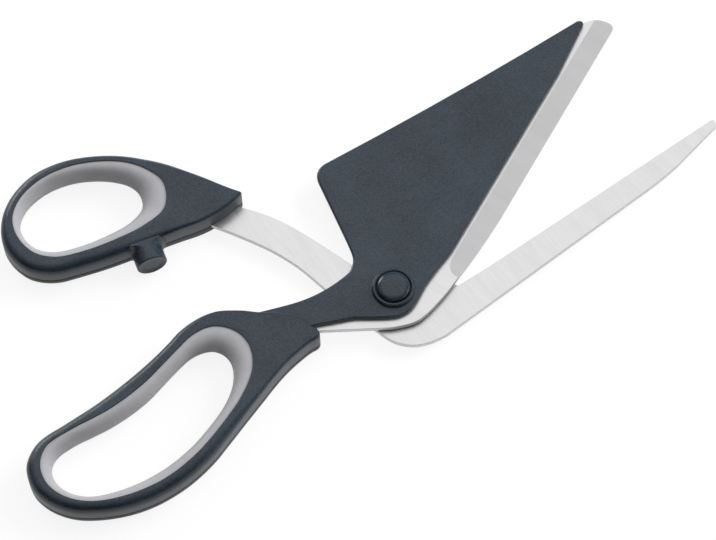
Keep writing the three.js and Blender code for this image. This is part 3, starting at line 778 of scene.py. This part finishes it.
NOSE_EDGE = 0.0013
LOOP_EDGE = 0.0036
UNDER_EDGE = 0.0026
SHELL_LIP = 0.0003
SEAM = 0.0003
SEAM_CREASE = 0.00022
SHELL_STEP = 0.0006
SLOT_ROOM = 0.0003  # round the tang and the neck
FINGER_NOSE_END = 0.055  # from the pivot
FINGER_LOOP_START = 0.098
FINGER_CUT = 0.0005  # below the seam, where the shell is widest
shell_low, shell_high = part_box("finger_front_shell")
back_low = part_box("finger_back_shell")[0]
seam_high = shell_low.z
seam_low = seam_high - SEAM
finger_cuts = section("finger_back_shell", seam_low - FINGER_CUT)
finger_outer = soften(fair(finger_cuts[0], SHELL_STEP), reach=3)
finger_front, finger_back = shells(
    finger_outer, finger_cuts[1], below=2, near=FINGER_NOSE_END, far=FINGER_LOOP_START,
    bottom=back_low.z, top=shell_high.z,
)
tang_line = inset(upper_line, -SLOT_ROOM)
tang_slot = plate("tang_slot", [
    level(tang_line, blade_low.z - SLOT_ROOM), level(tang_line, blade_high.z + SLOT_ROOM)
])
neck_line = inset(spatula_line, -SLOT_ROOM)
neck_slot = plate("neck_slot", [level(neck_line, plate_bottom), level(neck_line, plate_top + SLOT_ROOM)])
finger_front_mesh = cut_out(ring_mesh("finger_front", finger_front), tang_slot, neck_slot)
finger_back_mesh = ring_mesh("finger_back", finger_back)
piece("finger_front", finger_front_mesh, slate, "finger_half", ["finger_front_shell"])
piece("finger_back", finger_back_mesh, slate, "finger_half", ["finger_back_shell"])


# Thumb handle
# The smaller pair of shells, of the same slate plastic, pinned and glued round the lower blade's tang. A
# buffer stands on its inner edge, and the socket for the buffer's peg is smoothed over in the outline.
THUMB_NOSE_END = 0.072  # from the pivot
THUMB_LOOP_START = 0.105
THUMB_CUT = 0.0085  # the height of the cut, well above the tang
BUFFER_FOOT = np.array((-0.0463, 0.0791))
BUFFER_HEADING = np.array((-0.465, -0.8855))
SOCKET_BESIDE = 0.0035  # from the buffer's axis
SOCKET_DEPTH = 0.012  # from the buffer's foot
thumb_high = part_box("thumb_front_shell")[1]
thumb_cuts = section("thumb_front_shell", THUMB_CUT)
from_foot = thumb_cuts[0] - BUFFER_FOOT
beside = np.abs(from_foot @ np.array((-BUFFER_HEADING[1], BUFFER_HEADING[0])))
clear = (beside > SOCKET_BESIDE) | (np.linalg.norm(from_foot, axis=1) > SOCKET_DEPTH)
thumb_outer = soften(fair(thumb_cuts[0][clear], SHELL_STEP), reach=2)
thumb_front, thumb_back = shells(
    thumb_outer, thumb_cuts[1], below=0.9, near=THUMB_NOSE_END, far=THUMB_LOOP_START,
    bottom=back_low.z, top=thumb_high.z,
)
thumb_line = inset(lower_line, -SLOT_ROOM)
thumb_slot = plate("thumb_slot", [
    level(thumb_line, lower_low.z - SLOT_ROOM), level(thumb_line, lower_high.z + SLOT_ROOM)
])
thumb_front_mesh = cut_out(ring_mesh("thumb_front", thumb_front), thumb_slot.copy())
thumb_back_mesh = cut_out(ring_mesh("thumb_back", thumb_back), thumb_slot)
piece("thumb_front", thumb_front_mesh, slate, "thumb_half", ["thumb_front_shell"])
piece("thumb_back", thumb_back_mesh, slate, "thumb_half", ["thumb_back_shell"])


# Stop buffer
# A round buffer on the thumb handle's inner edge, moulded with a flared root and a dished end. It meets the
# finger handle when the scissors close.
def flat_turned(name, profile, foot, heading, height, tallest):
    """A profile of radius and distance turned about a level axis and held within a height on each side."""
    sideways = np.array((-heading[1], heading[0]))
    rows = []
    for radius, distance in profile:
        ring = circle(max(radius, POINT))
        lift = np.clip(ring[:, 1], -tallest, tallest)
        flat = foot + heading * distance + ring[:, :1] * sideways
        rows.append(level(flat, height + lift))
    return skinned(name, rows)


BUFFER_RADIUS = 0.0057
BUFFER_LENGTH = 0.0068
BUFFER_FLARE = 0.0022
BUFFER_ROOT = 0.0004  # how far the flare starts inside the handle
BUFFER_RIM = 0.0005
BUFFER_LAND = 0.0011  # from the outside to the edge of the dish
BUFFER_LAND_FALL = 0.00005
BUFFER_DISH = 0.0004
BUFFER_DISH_FOOT = 0.0016  # from the outside to where the dish is level
BUFFER_DISH_RING = 0.003
BUFFER_HEIGHT = 0.006
BUFFER_PEG = 0.0026
BUFFER_PEG_END = -0.0036
BUFFER_BACK = -0.0012
buffer_profile = [(0, BUFFER_PEG_END), (BUFFER_PEG, BUFFER_PEG_END), (BUFFER_PEG, BUFFER_BACK)]
buffer_profile.append((BUFFER_RADIUS + BUFFER_FLARE, BUFFER_BACK))
for angle in quarter(8):
    buffer_profile.append((
        BUFFER_RADIUS + BUFFER_FLARE * (1 - math.sin(angle)),
        BUFFER_FLARE * (1 - math.cos(angle)) - BUFFER_ROOT,
    ))
for angle in quarter(6):
    buffer_profile.append((
        BUFFER_RADIUS - BUFFER_RIM * (1 - math.cos(angle)),
        BUFFER_LENGTH - BUFFER_RIM * (1 - math.sin(angle)),
    ))
buffer_profile += [
    (BUFFER_RADIUS - BUFFER_LAND, BUFFER_LENGTH - BUFFER_LAND_FALL),
    (BUFFER_RADIUS - BUFFER_DISH_FOOT, BUFFER_LENGTH - BUFFER_DISH),
    (BUFFER_RADIUS - BUFFER_DISH_RING, BUFFER_LENGTH - BUFFER_DISH),
    (0, BUFFER_LENGTH - BUFFER_DISH),
]
buffer_mesh = flat_turned(
    "buffer", buffer_profile, BUFFER_FOOT, BUFFER_HEADING, BUFFER_HEIGHT, BUFFER_RADIUS
)
piece("buffer", buffer_mesh, slate, "thumb_half", ["stop_buffer"])


# Grip linings
# A soft grey rubber ring is moulded into each loop. It lies straight against the shells and is round towards
# the fingers, so it opens like a funnel on both sides.
def grip_rule():
    """Geometry nodes that skin a ring between a loop and the matching points inside it."""
    tree = bpy.data.node_groups.new("grip_ring", "GeometryNodeTree")
    wanted = {
        "Loop": "NodeSocketGeometry", "Around": "NodeSocketInt", "Bottom": "NodeSocketFloat",
        "Top": "NodeSocketFloat", "Fullness": "NodeSocketFloat", "Finish": "NodeSocketMaterial",
    }
    for name, kind in wanted.items():
        tree.interface.new_socket(name, in_out="INPUT", socket_type=kind)
    tree.interface.new_socket("Ring", in_out="OUTPUT", socket_type="NodeSocketGeometry")
    given = Wire(tree).node("NodeGroupInput")
    loop, around = given.other("Loop"), given.other("Around")
    across = 40  # faces round the ring's section
    wall = 0.25  # the share of them that lies against the shells
    sheet = given.node(
        "GeometryNodeMeshGrid",
        {"Size X": 1, "Size Y": 1, "Vertices X": around + 1, "Vertices Y": across + 1},
    )
    place = given.node("GeometryNodeInputPosition")
    split = given.node("ShaderNodeSeparateXYZ", {0: place})
    turn = split + 0.5
    over = split.other("Y") + 0.5
    index = given.maths("MODULO", given.maths("ROUND", turn * around), around)
    inner = given.node("GeometryNodeInputNamedAttribute", {"Name": "inner"}, data_type="FLOAT_VECTOR")
    picks = {"data_type": "FLOAT_VECTOR", "domain": "POINT"}
    outer_place, inner_place = (
        given.node("GeometryNodeSampleIndex", {"Geometry": loop, "Value": value, "Index": index}, **picks)
        for value in (place, inner)
    )
    is_round = given.maths("GREATER_THAN", over, wall)
    angle = (over - wall) * (math.pi / (1 - wall))
    arch = given.maths("MAXIMUM", given.maths("SINE", angle), 0)
    swell = given.maths("POWER", arch, given.other("Fullness"))
    share = is_round * swell
    rise = (1 - is_round) * over / wall + is_round * (0.5 + 0.5 * given.maths("COSINE", angle))
    mixed = given.node(
        "ShaderNodeMix", {0: share, 4: outer_place, 5: inner_place}, 1, data_type="VECTOR"
    )
    flat = given.node("ShaderNodeSeparateXYZ", {0: mixed})
    bottom = given.other("Bottom")
    height = bottom + (given.other("Top") - bottom) * rise
    moved = given.node("ShaderNodeCombineXYZ", {0: flat, 1: flat.other("Y"), 2: height})
    ring = given.node("GeometryNodeSetPosition", {"Geometry": sheet, "Position": moved})
    ring = given.node("GeometryNodeMergeByDistance", {"Geometry": ring, "Distance": SAME})
    ring = given.node("GeometryNodeRealizeInstances", {"Geometry": ring})
    ring = given.node("GeometryNodeSetMaterial", {"Geometry": ring, "Material": given.other("Finish")})
    given.node("NodeGroupOutput", {"Ring": ring})
    return tree


def lining(name, pocket_cut, hole_cut, bottom, top, fullness, finish):
    """The mesh of one lining, made by the rule from the cuts of the pocket and of the hole."""
    loop = fair(pocket_cut, GRIP_STEP, corner=3)
    centre = loop.mean(axis=0)
    angles = np.arctan2(loop[:, 1] - centre[1], loop[:, 0] - centre[0])
    hole = matched(hole_cut, angles, centre)
    mesh = bpy.data.meshes.new(name)
    count = len(loop)
    mesh.from_pydata(level(loop, 0).tolist(), [(step, (step + 1) % count) for step in range(count)], [])
    store = mesh.attributes.new("inner", "FLOAT_VECTOR", "POINT")
    store.data.foreach_set("vector", level(hole, 0).ravel())
    made = new_object(name, mesh)
    rule = made.modifiers.new("grip_ring", "NODES")
    rule.node_group = grip_ring
    values = {"Around": count, "Bottom": bottom, "Top": top, "Fullness": fullness, "Finish": finish}
    for socket in grip_ring.interface.items_tree:
        if socket.name in values:
            rule[socket.identifier] = values[socket.name]
    ring = bpy.data.meshes.new_from_object(made.evaluated_get(bpy.context.evaluated_depsgraph_get()))
    ring.name = name
    bpy.data.objects.remove(made)
    return faced_outwards(ring)


RUBBER_CLOUDS = 140  # per metre
RUBBER_PORES = 1900
PORE_DEPTH = 0.0001


def rubber(name, dark, light):
    """Soft matt rubber, faintly clouded."""
    made, paint = bare_material(name)
    place = paint.node("ShaderNodeTexCoord", output="Object")
    cloud = paint.node(
        "ShaderNodeTexNoise", {"Vector": place, "Scale": RUBBER_CLOUDS, "Detail": 4, "Roughness": 0.6}
    )
    pores = paint.node("ShaderNodeTexNoise", {"Vector": place, "Scale": RUBBER_PORES, "Detail": 3})
    tone = paint.node("ShaderNodeClamp", {"Value": (0.55 * cloud + 0.45 * pores - 0.3) * 2.5})
    colour = paint.node("ShaderNodeMix", {0: tone, 6: (*dark, 1), 7: (*light, 1)}, 2, data_type="RGBA")
    gloss = 0.5 + 0.14 * pores
    relief = paint.node("ShaderNodeBump", {"Height": pores, "Strength": 0.12, "Distance": PORE_DEPTH})
    finish = {"Base Color": colour, "Roughness": gloss, "Normal": relief}
    show(paint, paint.node("ShaderNodeBsdfPrincipled", finish))
    return made


def fuller(hole, amount, least):
    """The hole of a lining that is thicker on the right and, where least is below 0, thinner on the left."""
    hole = fair(anticlockwise(hole), 0.001, corner=3)
    outward = hole - inset(hole, 0.001)
    facing = outward @ np.array(rightward[:2]) / np.linalg.norm(outward, axis=1)
    return inset(hole, amount * np.clip(facing, least, 1))


GRIP_STEP = 0.0009
GRIP_FULLNESS = 0.85
GRIP_SWELL = 0.0012
grip_ring = grip_rule()
RUBBER_DARK = (0.39, 0.39, 0.41)
RUBBER_LIGHT = (0.47, 0.47, 0.49)
grip_rubber = rubber("grip_rubber", RUBBER_DARK, RUBBER_LIGHT)
grip_low, grip_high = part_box("finger_grip_insert")
grip_middle = (grip_low.z + grip_high.z) / 2
finger_hole = fuller(section("finger_grip_insert", grip_middle)[1], GRIP_SWELL, least=0)
finger_lining = lining(
    "finger_lining", finger_cuts[1], finger_hole, grip_low.z, grip_high.z, GRIP_FULLNESS, grip_rubber
)
piece("finger_lining", finger_lining, grip_rubber, "finger_half", ["finger_grip_insert"])
thumb_hole = fuller(section("thumb_grip_insert", grip_middle)[1], GRIP_SWELL, least=-1)
thumb_lining = lining(
    "thumb_lining", thumb_cuts[1], thumb_hole, grip_low.z, grip_high.z, GRIP_FULLNESS, grip_rubber
)
piece("thumb_lining", thumb_lining, grip_rubber, "thumb_half", ["thumb_grip_insert"])


# Pivot cap
# A snap-in cap of dark polished plastic in the spatula's collar. It is a shallow dome with a rounder
# shoulder, hollow underneath, and hides the bolt.
CAP_FLAT = 0.0014
CAP_DROP = 0.0018
CAP_WALL = 0.001
CAP_SHOULDER = 0.8  # under 1 makes the shoulder rounder than an ellipse's
CAP_DARK = (0.003, 0.009, 0.016)
CAP_LIGHT = (0.022, 0.038, 0.057)
cap_radius = (cap_high.x - cap_low.x) / 2
cap_inside = cap_radius - CAP_WALL
cap_roof = cap_high.z - CAP_WALL
cap_profile = [(0, cap_roof), (cap_inside, cap_roof), (cap_inside, cap_low.z), (cap_radius, cap_low.z)]
for angle in quarter(20):
    width = CAP_FLAT + (cap_radius - CAP_FLAT) * math.cos(angle)
    cap_profile.append((width, cap_high.z - CAP_DROP * (1 - math.sin(angle) ** CAP_SHOULDER)))
cap_profile.append((0, cap_high.z))
cap_plastic = moulded("cap_plastic", CAP_DARK, CAP_LIGHT, roughness=0.2, grain=0.3)
cap_mesh = turned("cap", cap_profile)
piece("cap", cap_mesh, cap_plastic, "finger_half", ["pivot_cap"])


# Pivot nut, bolt and washers
# Under the cap a steel bolt screws into a round nut, whose sleeve is the bearing of the lower blade. A disc
# spring under its head takes up the play, and a thin plastic washer parts the blades.
TOOL_RINGS = (5200, 2400)  # per metre, outwards and along the axis
TOOL_DEPTH = 0.0001


def machined(name, tone):
    """Turned steel with the fine rings that the tool leaves round the axis."""
    made, paint = bare_material(name)
    place = paint.node("ShaderNodeTexCoord", output="Object")
    spot = paint.node("ShaderNodeSeparateXYZ", {0: place})
    radius = paint.maths("SQRT", spot * spot + spot.other("Y") * spot.other("Y"))
    outwards, upwards = TOOL_RINGS
    track = paint.node("ShaderNodeCombineXYZ", {0: radius * outwards, 1: spot.other("Z") * upwards})
    rings = paint.node("ShaderNodeTexNoise", {"Vector": track, "Scale": 1, "Detail": 3})
    dim = tuple(0.8 * value for value in tone)
    colour = paint.node("ShaderNodeMix", {0: rings, 6: (*dim, 1), 7: (*tone, 1)}, 2, data_type="RGBA")
    relief = paint.node("ShaderNodeBump", {"Height": rings, "Strength": 0.15, "Distance": TOOL_DEPTH})
    finish = {"Base Color": colour, "Roughness": 0.22 + 0.16 * rings, "Normal": relief, "Metallic": 1}
    show(paint, paint.node("ShaderNodeBsdfPrincipled", finish))
    return made


fastener_steel = machined("fastener_steel", (0.62, 0.62, 0.63))
nut_low, nut_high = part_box("pivot_nut")
bolt_low, bolt_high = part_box("pivot_bolt")
spring_low, spring_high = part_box("pivot_spring_washer")
washer_low, washer_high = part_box("pivot_washer")
FASTENER_ROOM = 0.0002  # between the fasteners and what they go through or lie against
SLEEVE_ROOM = 0.0001  # in the lower blade's hole
WASHER_ROOM = 0.0003  # round the sleeve
NUT_DISH = 0.0003
NUT_DISH_FLOOR = 0.0036
NUT_DISH_RIM = 0.004
NUT_EDGE = 0.0006
NUT_CHAMFER = 0.0002
BOLT_CHAMFER = 0.0003
BOLT_UNDER_CHAMFER = 0.0002
nut_radius = nut_high.x
flange_top = lower_low.z - FASTENER_ROOM
sleeve = min(np.linalg.norm(cut, axis=1).max() for cut in lower_cuts) - SLEEVE_ROOM
bolt_hole = bore - FASTENER_ROOM
hole_end = bolt_low.z - FASTENER_ROOM
nut_dish = nut_low.z + NUT_DISH
nut_profile = [(0, nut_dish), (NUT_DISH_FLOOR, nut_dish), (NUT_DISH_RIM, nut_low.z)]
for angle in quarter(6):
    nut_profile.append((
        nut_radius - NUT_EDGE * (1 - math.sin(angle)), nut_low.z + NUT_EDGE * (1 - math.cos(angle))
    ))
nut_profile += [
    (nut_radius, flange_top - NUT_CHAMFER), (nut_radius - NUT_CHAMFER, flange_top), (sleeve, flange_top),
    (sleeve, nut_high.z - NUT_CHAMFER), (sleeve - NUT_CHAMFER, nut_high.z),
    (bolt_hole, nut_high.z), (bolt_hole, hole_end), (0, hole_end),
]
piece("nut", turned("nut", nut_profile), fastener_steel, "finger_half", ["pivot_nut"])
bolt_shank = bolt_hole - FASTENER_ROOM
bolt_head = bolt_high.x
head_bottom = spring_high.z
bolt_profile = [
    (0, bolt_low.z), (bolt_shank - BOLT_CHAMFER, bolt_low.z), (bolt_shank, bolt_low.z + BOLT_CHAMFER),
    (bolt_shank, head_bottom), (bolt_head - BOLT_UNDER_CHAMFER, head_bottom),
    (bolt_head, head_bottom + BOLT_UNDER_CHAMFER), (bolt_head, bolt_high.z - BOLT_CHAMFER),
    (bolt_head - BOLT_CHAMFER, bolt_high.z), (0, bolt_high.z),
]
piece("bolt", turned("bolt", bolt_profile), fastener_steel, "finger_half", ["pivot_bolt"])


RING_CHAMFER = 0.0001


def turned_ring(name, inner, outer, bottom, top):
    """A flat ring with a slightly broken outer edge."""
    brim = outer - RING_CHAMFER
    corners = [
        (inner, bottom), (brim, bottom), (outer, bottom + RING_CHAMFER),
        (outer, top - RING_CHAMFER), (brim, top), (inner, top),
    ]
    return ring_mesh(name, [level(circle(radius), height) for radius, height in corners])


spring_mesh = turned_ring("spring", bolt_hole, spring_high.x, spring_low.z, spring_high.z)
piece("spring", spring_mesh, fastener_steel, "finger_half", ["pivot_spring_washer"])
washer_bore = sleeve + WASHER_ROOM
washer_mesh = turned_ring("washer", washer_bore, washer_high.x, washer_low.z, washer_high.z)
WASHER_DARK = (0.66, 0.65, 0.61)
WASHER_LIGHT = (0.76, 0.75, 0.71)
washer_plastic = moulded("washer_plastic", WASHER_DARK, WASHER_LIGHT, roughness=0.45, grain=0.2)
piece("washer", washer_mesh, washer_plastic, "finger_half", ["pivot_washer"])


# Tang pins
# Short pins of steel rod with broken ends. They go through each tang and lock it between the shells of
# its handle.
PIN_CHAMFER = 0.0003
for node, body in (
    ("finger_tang_pin_1", "finger_half"), ("finger_tang_pin_2", "finger_half"),
    ("thumb_tang_pin_1", "thumb_half"), ("thumb_tang_pin_2", "thumb_half"),
):
    pin_low, pin_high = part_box(node)
    pin_line = circle((pin_high.x - pin_low.x) / 2, 48) + np.array(((pin_low + pin_high) / 2)[:2])
    pin_mesh = plate(node + "_steel", [
        level(inset(pin_line, PIN_CHAMFER), pin_low.z), level(pin_line, pin_low.z + PIN_CHAMFER),
        level(pin_line, pin_high.z - PIN_CHAMFER), level(inset(pin_line, PIN_CHAMFER), pin_high.z),
    ])
    piece(node + "_steel", pin_mesh, fastener_steel, body, [node])
